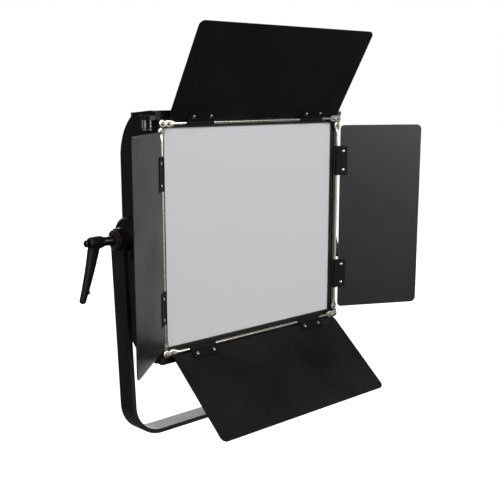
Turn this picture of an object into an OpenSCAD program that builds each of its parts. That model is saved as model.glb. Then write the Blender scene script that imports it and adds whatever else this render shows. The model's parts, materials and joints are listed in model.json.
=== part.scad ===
// LED panel light with four barn doors on chrome rods, held in a U-shaped yoke.
// Model frame: +Z up, -Y is the way the light shines, X runs along the tilt axis.
// Origin: centre of the stand socket's mouth, under the yoke.
// The head and doors are drawn upright around the rods' centre, then placed on the tilt axis.

/* [Head] */
// Width of the housing
head_w = 330; // [300:1:400]
// Height of the housing
head_h = 332; // [300:1:400]
// Depth from the bezel's front face to the flat of the back
head_d = 84; // [75:1:110]
// Depth of the front frame, bezel included
frame_d = 11; // [9:0.5:14]
// Wall of the rear shell
shell_t = 2.5; // [2:0.1:3.5]
// Radius of the curved back edges
back_r = 67; // [60:1:80]
// Forward lean of the head on its tilt axis, degrees
head_tilt = 3.4; // [0:0.1:10]
// Tilt axis, behind the rods' plane
axis_back = 72.6; // [60:0.1:74]
// Tilt axis, below the middle of the head
axis_down = 4; // [0:0.5:10]

/* [Lamp] */
// Bezel width at the left and right
bezel_side = 12; // [8:0.5:20]
// Bezel width at the top and bottom
bezel_top = 22; // [18:0.5:30]
// Thickness of the diffuser sheet
diffuser_t = 3; // [2:0.5:4]
// Depth of the mixing space behind the diffuser
mix_d = 24; // [15:1:35]
// Spacing of the light-emitting diodes
led_pitch = 24; // [20:1:40]

/* [Barn doors] */
// Distance from the head's side to the rod at that side
rod_in_x = 5; // [4:0.5:8]
// Distance from the head's top or bottom to the rod there
rod_in_z = 16; // [12:0.5:20]
// Diameter of the rods
rod_dia = 4; // [3:0.1:5]
// The upper and lower rods stand this far in front of the side rods
rod_step = 2; // [1:0.1:3]
// Gap between the side doors' barrels and the bezel
rod_gap = 1.5; // [1.2:0.1:2]
// Sheet thickness of a door
leaf_t = 1.2; // [0.8:0.1:1.5]
// Length of the upper and lower doors, out from the rod
leaf_len_tb = 140.5; // [100:0.5:142]
// Length of the left and right doors, out from the rod
leaf_len_lr = 137; // [100:0.5:150]
// The upper and lower doors end this far short of the side rods
leaf_gap_tb = 7; // [6.5:0.5:12]
// The left and right doors end this far short of the upper and lower rods
leaf_gap_lr = 10; // [8:0.5:16]
// Inner edge of a door, out from the rod axis
leaf_start = 5.5; // [5.4:0.1:6]
// Outer corner radius of a door
leaf_r = 8; // [3:0.5:15]
// Length of a hinge bracket along the rod
bracket_l = 44; // [30:1:60]
// Reach of a hinge bracket, out from the rod axis
bracket_reach = 17; // [14:0.5:22]
// Bracket sheet thickness
bracket_t = 1; // [0.8:0.1:1.2]
// Bracket centres on the upper and lower doors
bracket_x_tb = 101; // [70:1:108]
// Bracket centres on the side doors
bracket_x_lr = 87; // [60:1:95]
// Clearance of the bracket barrels on the rods
rod_clear = 0.06; // [0.02:0.01:0.1]
// Angles of the doors from the bezel's plane, towards the beam, degrees
top_angle = 30.5; // [0:0.5:170]
// Angle of the lower door
bottom_angle = 50.5; // [0:0.5:170]
// Angle of the left door
left_angle = 41; // [0:0.5:170]
// Angle of the right door
right_angle = 27; // [0:0.5:170]

/* [Yoke] */
// Yoke bar width
yoke_w = 31; // [24:1:40]
// Yoke bar thickness
yoke_t = 6; // [4:0.5:8]
// Outer radius of the yoke's bends
yoke_r = 45; // [25:1:60]
// Gap from the head's side to the yoke arm
arm_gap = 14; // [13:0.5:20]
// Height of the tilt axis above the bar's upper face
axis_h = 269; // [260:1:320]
// Radius of the pivot discs on the head
disc_r = 28; // [20:1:34]
// Thickness of the pivot discs
disc_t = 8; // [6:0.5:10]
// Diameter of the pivot studs
stud_dia = 8; // [6:1:10]
// Running clearance of a stud in its bush
stud_clear = 0.06; // [0.02:0.01:0.1]
// Length of the clamping collars
collar_l = 5; // [4:1:12]
// Radius of the clamping collars
collar_r = 14; // [11:0.5:16]

/* [Clamp levers] */
// Radius of a lever's hub
hub_r = 8.5; // [8:0.5:11]
// Length of a lever's hub
hub_l = 35; // [34:1:42]
// Length of a lever, from the tilt axis to its tip
lever_l = 78; // [55:1:90]
// Outward lean of a lever's tip
lever_lean = 22; // [10:1:24]

/* [Stand socket] */
// Diameter of the socket's bore, for a 16 mm spigot
socket_bore = 16.2; // [12:0.1:20]
// Depth of the socket's bore
socket_depth = 28; // [20:1:30]
// Height of the socket body
socket_h = 40; // [38:1:50]
// Outer radius of the socket body
socket_r = 15; // [13:0.5:18]
// Diameter of the locking screw
lock_dia = 8; // [6:0.5:10]

/* [Controls] */
// Radius of the two rear knobs
knob_r = 10; // [7:0.5:12]
// Height of the two rear knobs
knob_h = 13; // [9:0.5:16]
// Width of the rear control plate
panel_w = 150; // [130:1:180]
// Height of the rear control plate
panel_h = 52; // [44:1:70]

/* [Hidden] */
$fn = 48;
eps = 0.01;
play = 0.05;                                    // radial room of fixed screws and rivets
axis_z = socket_h + yoke_t + axis_h;            // height of the tilt axis
rod_x = head_w / 2 - rod_in_x;                  // side rods' distance from the middle
rod_z = head_h / 2 - rod_in_z;                  // upper and lower rods' distance from the middle
barrel_r = rod_dia / 2 + rod_clear + bracket_t;
frame_y = barrel_r + rod_gap;                   // bezel's front face, behind the side rods
shell_y = frame_y + frame_d;                    // joint of front frame and rear shell
back_y = frame_y + head_d;                      // flat of the back
open_w = head_w - 2 * bezel_side;
open_h = head_h - 2 * bezel_top;
inner_w = open_w + 12;                          // diffuser and what is behind it
inner_h = open_h + 14;
bezel_t = 3;
diffuser_y = frame_y + bezel_t;
board_y = diffuser_y + diffuser_t + mix_d;
board_t = 2;
sink_t = 4;
fin_h = 14;
arm_x = head_w / 2 + arm_gap;                   // inner face of a yoke arm
hub_x = arm_x + yoke_t + collar_l;              // where a lever's hub starts
top_slope = 3.5;                                // fall of the housing's top towards the back
lip_h = 5;                                      // height of the step where the curved back edge starts
plate_w = 10.4;                                 // flattened end of a rod
plate_t = 1.5;
screw_r = 1.5;                                  // rod and shell screws
bolt_dia = 8;                                   // bolt between yoke and stand socket
head_r = 2.8;                                   // their heads
rivet_pitch = 28;
rivet_out = 10;                                 // rivets' distance from the rod axis
rivet_r = 1.5;
rivet_head_r = 2.4;
corner_r = 6;                                   // inner corners of the doors
clip_y = [frame_y + 4.4, frame_y + 18.7];      // thin and wide pin of a clip, behind the rods' plane
clip_r = [1.3, 3];
clip_z = head_h / 2 - 12;                      // top of the pins
clip_l = 14;
knob_x = 36;                                    // rear knobs' distance from the middle of the plate
panel_z = -head_h / 4;                          // middle of the rear control plate
panel_t = 2;

// ---------- placing ----------
module in_head() {
    translate([0, 0, axis_z]) rotate([head_tilt, 0, 0])
        translate([0, -axis_back, axis_down]) children();
}
module on_back(x, z) {
    in_head() translate([x, back_y, z]) rotate([-90, 0, 0]) children();
}
// turn = 0 top, 1 left, 2 bottom, 3 right; X runs along the rod and Z out from it
module at_rod(turn) {
    flat = turn % 2 == 0;
    in_head() rotate([0, -90 * turn, 0])
        translate([0, rod_y(turn), flat ? rod_z : rod_x]) children();
}
module at_door(turn) {
    angles = [top_angle, left_angle, bottom_angle, right_angle];
    at_rod(turn) rotate([angles[turn], 0, 0]) children();
}
module at_side(side) {                          // side = -1 left, 1 right; +Z runs outwards
    translate([0, 0, axis_z]) rotate([0, 90 * side, 0]) children();
}
module tube(r_out, r_in, h) {
    difference() {
        cylinder(r = r_out, h = h);
        translate([0, 0, -1]) cylinder(r = r_in, h = h + 2);
    }
}
// Rounded rectangle around the origin
module round_rect(w, h, r) {
    square([w - 2 * r, h], center = true);
    square([w, h - 2 * r], center = true);
    for (x = [-1, 1], z = [-1, 1])
        translate([x * (w / 2 - r), z * (h / 2 - r)]) circle(r);
}

// ---------- yoke ----------
// U outline in X and Z: its arms stop at z = top
module u_outline(half_w, bottom, top, r) {
    translate([-half_w, bottom + r]) square([2 * half_w, top - bottom - r]);
    translate([-half_w + r, bottom]) square([2 * (half_w - r), r + eps]);
    for (x = [-1, 1]) translate([x * (half_w - r), bottom + r]) circle(r);
}
module yoke_bar() {
    bush_r = stud_dia / 2 + 2.5;
    color("#17171a") difference() {
        union() {
            translate([0, yoke_w / 2, 0]) rotate([90, 0, 0]) linear_extrude(yoke_w) difference() {
                u_outline(arm_x + yoke_t, socket_h, axis_z, yoke_r);
                u_outline(arm_x, socket_h + yoke_t, axis_z + 1, yoke_r - yoke_t);
            }
            for (side = [-1, 1]) at_side(side)
                translate([0, 0, arm_x]) cylinder(r = yoke_w / 2, h = yoke_t);
        }
        for (side = [-1, 1]) at_side(side)
            translate([0, 0, arm_x - 1]) cylinder(r = bush_r, h = yoke_t + 2);
        cylinder(r = bolt_dia / 2 + play, h = axis_z / 2);
    }
}
// Flanged nylon bush in the arm, reaching to the pivot disc
module arm_bush(side) {
    seat = head_w / 2 + disc_t + 0.3;
    color("#2a2a2c") at_side(side) difference() {
        union() {
            translate([0, 0, arm_x]) cylinder(r = stud_dia / 2 + 2.5, h = yoke_t);
            translate([0, 0, seat]) cylinder(r = yoke_w / 2 + 0.5, h = arm_x - seat);
        }
        cylinder(r = stud_dia / 2 + stud_clear, h = arm_x + 2 * yoke_t);
    }
}
// Ribbed clamping collar outside the arm
module collar(side) {
    ribs = 4;
    pitch = collar_l / ribs;
    color("#3b3833") at_side(side) difference() {
        union() {
            translate([0, 0, arm_x + yoke_t]) cylinder(r = collar_r - 1, h = collar_l);
            for (i = [0:ribs - 1])
                translate([0, 0, arm_x + yoke_t + i * pitch]) cylinder(r = collar_r, h = 0.6 * pitch);
        }
        cylinder(r = stud_dia / 2 + stud_clear, h = hub_x + 1);
    }
}
module stand_receiver() {
    color("#1c1c1e") difference() {
        union() {
            cylinder(r = socket_r, h = socket_h);
            translate([0, 0, socket_h - 8]) cylinder(r = socket_r + 2, h = 8, $fn = 6);
            translate([0, 0, socket_depth / 2]) rotate([0, 90, 0]) cylinder(r = lock_dia, h = socket_r + 6);
        }
        translate([0, 0, -1]) cylinder(d = socket_bore, h = socket_depth + 1);
        translate([0, 0, socket_h - 9]) cylinder(r = bolt_dia / 2 + play, h = 10);
        translate([0, 0, socket_depth / 2]) rotate([0, 90, 0])
            cylinder(r = lock_dia / 2 + play, h = socket_r + 7);
    }
}
// Bolt and washer that hold the socket under the yoke
module receiver_bolt() {
    color("silver") {
        translate([0, 0, socket_h - 8.5]) cylinder(d = bolt_dia, h = yoke_t + 8.5 + 1.5);
        translate([0, 0, socket_h + yoke_t]) cylinder(r = bolt_dia, h = 1.5);
        translate([0, 0, socket_h + yoke_t + 1.5]) cylinder(r = bolt_dia * 0.85, h = 5, $fn = 6);
    }
}
lock_x = socket_bore / 2 + 0.4;                 // inner end of the plug
plug_l = 5;
module lock_plug() {
    color("goldenrod") translate([lock_x, 0, socket_depth / 2]) rotate([0, 90, 0])
        cylinder(d = lock_dia - 2 * play, h = plug_l);
}
module lock_screw() {
    color("silver") translate([lock_x + plug_l, 0, socket_depth / 2]) rotate([0, 90, 0])
        cylinder(d = lock_dia, h = socket_r + 14 - lock_x - plug_l);
}
module lock_knob() {
    color("#19191b") translate([socket_r + 10, 0, socket_depth / 2]) rotate([0, 90, 0]) difference() {
        union() {
            cylinder(r = 9, h = 16);
            translate([0, 0, 3]) for (i = [0:4]) rotate([0, 0, 72 * i])
                translate([9.5, 0, 0]) cylinder(r = 4.5, h = 12);
        }
        translate([0, 0, -1]) cylinder(d = lock_dia, h = 5);
    }
}

// ---------- housing ----------
// Half of the side outline, y back and z up, with the curved back edge
function half_profile(inset) =
    let (
        cy = back_y - back_r,
        z_lip = head_h / 2 - top_slope,
        a_top = asin((z_lip - lip_h - shell_arc_z()) / back_r),
        r = back_r - inset,
        steps = 10
    )
    concat(
        [[shell_y, head_h / 2 - inset]],
        [[cy + back_r * cos(a_top), z_lip - inset]],
        [for (i = [0:steps]) let (a = a_top * (1 - i / steps)) [cy + r * cos(a), shell_arc_z() + r * sin(a)]]
    );
function shell_arc_z() = head_h / 2 - 63;
function mirrored(points) = [for (i = [len(points) - 1:-1:0]) [points[i][0], -points[i][1]]];
module side_outline(inset) {
    half = half_profile(inset);
    polygon(concat(half, mirrored(half)));
}
module shell_body(inset, width) {
    translate([-width / 2, 0, 0]) rotate([90, 0, 90]) linear_extrude(width) side_outline(inset);
}
module rear_shell() {
    groove_pitch = 12;
    groove_z = panel_z + panel_h / 2 + 20;
    grooves = floor((shell_arc_z() - groove_z) / groove_pitch);
    color("#141416") in_head() difference() {
        shell_body(0, head_w);
        shell_body(shell_t, head_w - 2 * shell_t);
        // mouth for the front frame's rear step
        translate([0, shell_y + 1, 0]) cube([head_w - 2 * shell_t, 4, head_h - 2 * shell_t], center = true);
        // cooling grooves across the back, above the control plate
        for (i = [0:grooves]) translate([0, back_y, groove_z + i * groove_pitch])
            cube([head_w - 60, 2.4, 5], center = true);
        // vents through the back
        for (i = [1:2:grooves], x = [-3:3]) translate([x * 34, back_y, groove_z + i * groove_pitch])
            cube([26, 20, 2.6], center = true);
        // vents through the top and bottom edges
        for (z = [-1, 1], x = [-6:6])
            translate([x * 18, shell_y + 24, z * head_h / 2]) cube([3, 24, 20], center = true);
        // pivot studs
        for (x = [-1, 1]) translate([x * head_w / 2, axis_back, -axis_down]) rotate([0, 90, 0])
            cylinder(d = stud_dia + 2 * play, h = 20, center = true);
        // opening behind the control plate
        translate([0, back_y, panel_z]) cube([panel_w - 12, 20, panel_h - 12], center = true);
        for (z = [-1, 1], x = [-1, 1]) translate([x * (panel_w / 2 - 3), back_y, panel_z + z * (panel_h / 2 - 3)])
            rotate([90, 0, 0]) cylinder(r = 1.2 + play, h = 20, center = true);
        shell_screw_holes();
    }
}
module shell_screw_holes() {
    for (x = [-1, 1], z = [-1, 0, 1])
        translate([x * head_w / 2, shell_y + 7, z * (head_h / 2 - 42)])
            rotate([0, 90, 0]) cylinder(r = screw_r + play, h = 16, center = true);
}
module front_frame() {
    color("#161618") in_head() difference() {
        union() {
            translate([0, shell_y, 0]) rotate([90, 0, 0]) linear_extrude(frame_d) round_rect(head_w, head_h, 3);
            // step that slides inside the rear shell
            translate([0, shell_y + 5, 0])
                cube([head_w - 2 * shell_t - 0.4, 10, head_h - 2 * shell_t - 2], center = true);
        }
        translate([0, frame_y + 1, 0]) cube([open_w, 8, open_h], center = true);
        translate([0, diffuser_y + 20, 0]) cube([inner_w + 0.6, 40, inner_h + 0.6], center = true);
        shell_screw_holes();
        rod_screw_holes();
    }
}
module diffuser() {
    color("#c9c9cc") in_head() translate([0, diffuser_y + diffuser_t / 2, 0])
        cube([inner_w, diffuser_t, inner_h], center = true);
}
// White reflecting walls between the diodes and the diffuser
module mixing_frame() {
    wall = 2;
    color("white") in_head() translate([0, diffuser_y + diffuser_t + mix_d / 2, 0]) difference() {
        cube([inner_w, mix_d, inner_h], center = true);
        cube([inner_w - 2 * wall, mix_d + 1, inner_h - 2 * wall], center = true);
    }
}
module led_board() {
    color("#e8e8e0") in_head() translate([0, board_y + board_t / 2, 0])
        cube([inner_w, board_t, inner_h], center = true);
}
module led_chips() {
    nx = floor((open_w - 10) / led_pitch / 2);
    nz = floor((open_h - 10) / led_pitch / 2);
    color("#e6c45a") in_head() for (x = [-nx:nx], z = [-nz:nz])
        translate([x * led_pitch, board_y - 0.5, z * led_pitch]) cube([3.5, 1, 2.8], center = true);
}
module heat_sink() {
    fins = 9;
    color("silver") in_head() translate([0, board_y + board_t, 0]) {
        translate([0, sink_t / 2, 0]) cube([open_w - 30, sink_t, open_h - 30], center = true);
        for (i = [-fins:fins]) translate([i * 14, sink_t + fin_h / 2 - eps, open_h / 8])
            cube([1.8, fin_h, open_h / 2], center = true);
    }
}
module driver_board() {
    stand = board_y + board_t + sink_t;
    color("darkgreen") in_head() translate([0, 0, panel_z]) {
        translate([0, stand + 9, 0]) cube([panel_w, 1.6, panel_h], center = true);
        for (x = [-1, 1], z = [-1, 1]) translate([x * (panel_w / 2 - 6), stand + 8.3, z * (panel_h / 2 - 6)])
            rotate([90, 0, 0]) cylinder(r = 3, h = 8.3);
        for (x = [-50, -20, 20]) translate([x, stand + 9.7, -8]) rotate([-90, 0, 0]) cylinder(r = 6, h = 12);
        translate([48, stand + 13, 4]) cube([26, 7, 22], center = true);
    }
}
// Toothed disc on the housing's side, around the tilt axis
module pivot_disc(side) {
    color("#1a1a1c") at_side(side) translate([0, 0, head_w / 2]) difference() {
        union() {
            cylinder(r = disc_r, h = disc_t - 2);
            cylinder(r = disc_r - 3, h = disc_t - 1);
            cylinder(r = yoke_w / 2 + 2, h = disc_t);
        }
        translate([0, 0, -1]) cylinder(r = stud_dia / 2 + play, h = disc_t + 2);
    }
}
// Stud through disc, bush and collar, with a flat head inside the shell
module pivot_stud(side) {
    inner = head_w / 2 - shell_t;
    color("silver") at_side(side) {
        translate([0, 0, inner]) cylinder(d = stud_dia, h = hub_x - inner + 14);
        translate([0, 0, inner - 4]) cylinder(r = stud_dia, h = 4);
    }
}

// ---------- rods ----------
// Horizontal rods have two screws at each end, side rods have one
function rod_screws_at(turn) = turn % 2 == 0 ? [rod_x - 0.5, rod_x - 10] : [rod_z - 10.5];
function plate_from(turn) = min(rod_screws_at(turn)) - 4.2;
function plate_to(turn) = max(rod_screws_at(turn)) + 5.2;
module rod(turn) {
    taper = 6;
    start = plate_from(turn);
    end = plate_to(turn);
    color("gainsboro") at_rod(turn) {
        rotate([0, 90, 0]) cylinder(d = rod_dia, h = 2 * (start - taper + 1), center = true);
        for (s = [-1, 1]) difference() {
            translate([0, plate_t / 2, 0]) rotate([90, 0, 0]) linear_extrude(plate_t) {
                polygon([[s * (start - taper), -rod_dia / 2], [s * (start - taper), rod_dia / 2],
                         [s * start, plate_w / 2], [s * start, -plate_w / 2]]);
                translate([s > 0 ? start - eps : -end + plate_w / 2, -plate_w / 2])
                    square([end - start - plate_w / 2 + eps, plate_w]);
                translate([s * (end - plate_w / 2), 0]) circle(plate_w / 2);
            }
            for (x = rod_screws_at(turn)) translate([s * x, 0, 0]) rotate([90, 0, 0])
                cylinder(r = screw_r + play, h = 10, center = true);
        }
    }
}
function rod_y(turn) = turn % 2 == 0 ? -rod_step : 0;
module rod_screw_holes() {
    for (turn = [0:3], s = [-1, 1], x = rod_screws_at(turn))
        rotate([0, -90 * turn, 0]) translate([s * x, diffuser_y - 0.3, turn % 2 == 0 ? rod_z : rod_x])
            rotate([90, 0, 0]) cylinder(r = screw_r + play, h = 2 * frame_d);
}
module rod_screws() {
    head_t = 1.4;
    slot = 0.7;
    color("gainsboro") for (turn = [0:3], s = [-1, 1], x = rod_screws_at(turn))
        at_rod(turn) translate([s * x, 0, 0]) rotate([90, 0, 0]) difference() {
            shank = diffuser_y - 0.5 - rod_y(turn);
            union() {
                translate([0, 0, plate_t / 2]) cylinder(r1 = head_r, r2 = head_r - 0.6, h = head_t);
                translate([0, 0, -shank]) cylinder(r = screw_r, h = shank + plate_t / 2 + eps);
            }
            for (a = [45, 135]) rotate([0, 0, a]) translate([0, 0, plate_t / 2 + head_t])
                cube([2.6, slot, 1.2], center = true);
        }
}
// Corner plates that carry the rods' ends, standing on the bezel
module corner_tabs() {
    side_front = plate_t / 2;
    out = 5;
    tab_x = plate_to(0) - plate_from(0) + 2;
    color("#121214") in_head() for (sx = [-1, 1], sz = [-1, 1]) difference() {
        union() {
            corner_block(sx, sz, rod_x - plate_w / 2, rod_x + out, plate_from(1) - 1, rod_z, side_front);
            corner_block(sx, sz, rod_x + out - tab_x, rod_x + out, rod_z - plate_w / 2,
                         rod_z + plate_w / 2, side_front - rod_step);
        }
        rod_screw_holes();
    }
}
// Block from y = front to the bezel, between distances from the middle
module corner_block(sx, sz, x0, x1, z0, z1, front) {
    translate([sx > 0 ? x0 : -x1, front, sz > 0 ? z0 : -z1]) cube([x1 - x0, frame_y - front, z1 - z0]);
}

// ---------- doors ----------
// Flat sheet with rounded corners, its inner edge at leaf_start
module leaf_outline(half_w, len) {
    translate([-half_w, leaf_start + corner_r]) square([2 * half_w, len - leaf_start - leaf_r - corner_r]);
    translate([-half_w + leaf_r, len - leaf_r - eps]) square([2 * (half_w - leaf_r), leaf_r + eps]);
    translate([-half_w + corner_r, leaf_start]) square([2 * (half_w - corner_r), corner_r + eps]);
    for (s = [-1, 1]) {
        translate([s * (half_w - leaf_r), len - leaf_r]) circle(leaf_r);
        translate([s * (half_w - corner_r), leaf_start + corner_r]) circle(corner_r);
    }
}
function leaf_half(turn) = turn % 2 == 0 ? rod_x - leaf_gap_tb : rod_z - leaf_gap_lr;
function leaf_len(turn) = turn % 2 == 0 ? leaf_len_tb : leaf_len_lr;
function bracket_x(turn) = turn % 2 == 0 ? bracket_x_tb : bracket_x_lr;
module leaf(turn) {
    color("#1b1b1c") at_door(turn) difference() {
        translate([0, leaf_t / 2, 0]) rotate([90, 0, 0]) linear_extrude(leaf_t)
            leaf_outline(leaf_half(turn), leaf_len(turn));
        rivet_holes(turn);
    }
}
module each_rivet(turn) {
    for (s = [-1, 1], r = [-1, 1])
        translate([s * bracket_x(turn) + r * rivet_pitch / 2, 0, rivet_out]) children();
}
module rivet_holes(turn) {
    each_rivet(turn) rotate([90, 0, 0]) cylinder(r = rivet_r + play, h = 20, center = true);
}
// Two folded brackets: a barrel round the rod and a flap on each face of the door
module hinges(turn) {
    color("#0f0f10") at_door(turn) difference() {
        for (s = [-1, 1]) translate([s * bracket_x(turn), 0, 0]) {
            rotate([0, 90, 0]) cylinder(r = barrel_r, h = bracket_l, center = true);
            for (f = [-1, 1]) translate([0, f * (leaf_t / 2 + bracket_t / 2), bracket_reach / 2])
                cube([bracket_l, bracket_t, bracket_reach], center = true);
        }
        rotate([0, 90, 0]) cylinder(r = rod_dia / 2 + rod_clear, h = 4 * rod_x, center = true);
        rivet_holes(turn);
    }
}
module rivets(turn) {
    face = leaf_t / 2 + bracket_t;
    color("silver") at_door(turn) each_rivet(turn) rotate([90, 0, 0]) {
        translate([0, 0, face]) cylinder(r1 = rivet_head_r, r2 = rivet_head_r * 0.6, h = 1.2);
        translate([0, 0, -face - 0.8]) cylinder(r = rivet_r, h = 2 * face + 0.8 + eps);
        translate([0, 0, -face - 0.8]) cylinder(r = rivet_head_r, h = 0.8);
    }
}
// Half-round bright bead on the bezel, behind a side rod
module bead(x) {
    bead_r = 0.9;
    half = plate_from(1) - 3;
    color("gainsboro") in_head() translate([x, frame_y, -half]) intersection() {
        cylinder(r = bead_r, h = 2 * half);
        translate([-bead_r, -2 * bead_r, 0]) cube([2 * bead_r, 2 * bead_r, 2 * half]);
    }
}

// ---------- accessory clips on the housing's upper sides ----------
clip_out = 4.2;                                 // pins stand this far off the side
module accessory_clips() {
    span = clip_y[1] - clip_y[0];
    color("#0f0f10") in_head() for (x = [-1, 1]) difference() {
        translate([x * (head_w / 2 + clip_out), clip_y[0] + span / 2, clip_z + 3])
            cube([2 * clip_out, span + 8, 6], center = true);
        for (i = [0, 1]) translate([x * (head_w / 2 + clip_out), clip_y[i], clip_z - 1])
            cylinder(r = clip_r[i] + play, h = 6);
    }
}
// A thin bright pin on a flange in front, a wide post with a small foot behind
module clip_pins() {
    color("gainsboro") in_head() for (x = [-1, 1]) translate([x * (head_w / 2 + clip_out), 0, clip_z]) {
        for (i = [0, 1]) translate([0, clip_y[i], i == 0 ? -clip_l : 2 - clip_l])
            cylinder(r = clip_r[i], h = clip_l + (i == 0 ? 5 : 3));
        translate([0, clip_y[0], -clip_l - 1.2]) cylinder(r1 = 2, r2 = 3, h = 1.2 + eps);
        translate([0, clip_y[1], -clip_l]) cylinder(r = 2, h = 2 + eps);
    }
}
module shell_screws() {
    color("#303033") in_head() {
        for (x = [-1, 1], z = [-1, 0, 1]) translate([x * head_w / 2, shell_y + 7, z * (head_h / 2 - 42)])
            rotate([0, x * 90, 0]) {
                cylinder(r1 = head_r, r2 = head_r - 0.7, h = 1.2);
                translate([0, 0, -5.5]) cylinder(r = screw_r, h = 5.5 + eps);
            }
        for (x = [-1, 1], z = [-1, 1])
            translate([x * (panel_w / 2 - 3), back_y + panel_t, panel_z + z * (panel_h / 2 - 3)])
                rotate([-90, 0, 0]) {
                    cylinder(r1 = 2.2, r2 = 1.6, h = 1);
                    translate([0, 0, -panel_t - 5]) cylinder(r = 1.2, h = panel_t + 5 + eps);
                }
    }
}

// ---------- rear controls ----------
rocker_x = -panel_w / 2 + 18;
inlet_x = panel_w / 2 - 16;
rocker_w = 10;
rocker_r = 8;
shaft_r = 3;
display_w = 40;
display_h = 22;
module control_plate() {
    color("#202024") on_back(0, panel_z) difference() {
        linear_extrude(panel_t) round_rect(panel_w, panel_h, 3);
        for (x = [-1, 1]) translate([x * knob_x, 0, -1]) cylinder(r = shaft_r + 0.1, h = panel_t + 2);
        translate([rocker_x, 0, 0]) cube([rocker_w + 0.6, 2 * rocker_r + 0.6, 10], center = true);
        translate([inlet_x, 0, -1]) cylinder(r = 6 + play, h = panel_t + 2);
        cube([display_w, display_h, 1.2], center = true);
        translate([0, 0, panel_t]) cube([display_w, display_h, 1.6], center = true);
        for (x = [-1, 1], y = [-1, 1]) translate([x * (panel_w / 2 - 3), y * (panel_h / 2 - 3), -1])
            cylinder(r = 1.2 + play, h = panel_t + 2);
    }
}
module display_window() {
    color("#0a1418") on_back(0, panel_z) translate([0, 0, panel_t - 0.4])
        cube([display_w - 0.4, display_h - 0.4, 0.8], center = true);
}
module dc_inlet() {
    color("#26262a") on_back(inlet_x, panel_z) {
        difference() {
            union() {
                cylinder(r = 7.5, h = panel_t + 1.6);
                translate([0, 0, -12]) cylinder(r = 6, h = 13);
            }
            translate([0, 0, -9]) cylinder(r = 3.6, h = 20);
            translate([0, 0, -eps]) difference() {
                cylinder(r = 9, h = panel_t + eps);
                translate([0, 0, -1]) cylinder(r = 6, h = panel_t + 2);
            }
        }
        translate([0, 0, -9.5]) cylinder(r = 1, h = 9);
    }
}
module rear_knob(x) {
    color("#19191b") on_back(x, panel_z) {
        translate([0, 0, -6]) cylinder(r = shaft_r, h = panel_t + 6.6);
        translate([0, 0, panel_t + 0.5]) difference() {
            union() {
                cylinder(r = knob_r, h = knob_h * 0.3);
                cylinder(r = knob_r - 1, h = knob_h);
            }
            for (i = [0:11]) rotate([0, 0, 30 * i]) translate([knob_r - 0.6, 0, 3])
                cylinder(r = 0.9, h = knob_h, $fn = 24);
            translate([0, knob_r * 0.6, knob_h]) cube([1, knob_r, 1.2], center = true);
        }
    }
}
// Rocker switch: a wedge that turns on the middle of its housing
module power_rocker() {
    color("#101012") on_back(rocker_x, panel_z) translate([0, 0, 0.5]) rotate([7, 0, 0]) intersection() {
        rotate([0, 90, 0]) cylinder(r = rocker_r, h = rocker_w, center = true);
        translate([0, 0, 1.5]) cube([rocker_w, 2 * rocker_r, 5], center = true);
    }
}
// Encoders and switch housing behind the control plate
module control_bodies() {
    color("#3a4048") on_back(0, panel_z) {
        for (x = [-1, 1]) translate([x * knob_x, 0, -11]) difference() {
            cylinder(r = 8, h = 11);
            translate([0, 0, 4]) cylinder(r = shaft_r + 0.1, h = 8);
        }
        translate([rocker_x, 0, -7]) difference() {
            cube([rocker_w + 4, 2 * rocker_r + 4, 14], center = true);
            translate([0, 0, 4]) cube([rocker_w + 0.6, 2 * rocker_r + 0.6, 14], center = true);
        }
    }
}

// ---------- clamp levers ----------
insert_r = 6.2;
insert_l = 22;
lift = 4;                                       // travel of a lever when it is pulled out to be turned
cap_r = 4.2;
cap_l = 7;                                      // end cap of a lever's screw, standing out of the hub
// Steel insert screwed on the stud
module lever_hub(side) {
    color("dimgray") at_side(side) translate([0, 0, hub_x + 0.3])
        tube(insert_r, stud_dia / 2 + stud_clear, insert_l - 0.3);
}
// Screw that holds the lever on its insert
module lever_screw(side) {
    color("silver") at_side(side) translate([0, 0, hub_x + insert_l]) {
        cylinder(r = 5.6, h = 1.5);
        cylinder(r = 2.5, h = hub_l - insert_l - 1 + eps);
        translate([0, 0, hub_l - insert_l - 1]) cylinder(r1 = cap_r, r2 = cap_r - 0.6, h = cap_l);
    }
}
module lever(side) {
    neck = 15;                                  // bare part of the insert
    arm_t = 9.6;
    root = [hub_x + hub_l - 17, hub_x + hub_l - 1];
    tip_r = 5;
    tip = hub_x + hub_l - 2 + lever_lean;
    color("#1d1d1f") at_side(side) difference() {
        union() {
            translate([0, 0, hub_x + neck]) cylinder(r1 = hub_r - 1, r2 = hub_r, h = 3);
            translate([0, 0, hub_x + neck + 3 - eps]) cylinder(r = hub_r, h = hub_l - neck - 6);
            translate([0, 0, hub_x + hub_l - 3 - 2 * eps]) cylinder(r1 = hub_r, r2 = hub_r - 2.4, h = 3);
            rotate([90, 0, 0]) translate([0, 0, -arm_t / 2]) linear_extrude(arm_t) {
                polygon([[side * 3, root[0]], [side * 3, root[1]], [side * (lever_l - tip_r), tip],
                         [side * (lever_l - tip_r), tip - 2 * tip_r]]);
                translate([side * (lever_l - tip_r), tip - tip_r]) circle(tip_r);
            }
        }
        translate([0, 0, hub_x]) cylinder(r = insert_r + 0.08, h = insert_l + 1.5 + lift);
        translate([0, 0, hub_x]) cylinder(r = 2.6, h = hub_l + 1);
        translate([0, 0, hub_x + hub_l - 5.5]) cylinder(r = cap_r + 0.2, h = 6.5);
    }
}

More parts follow.
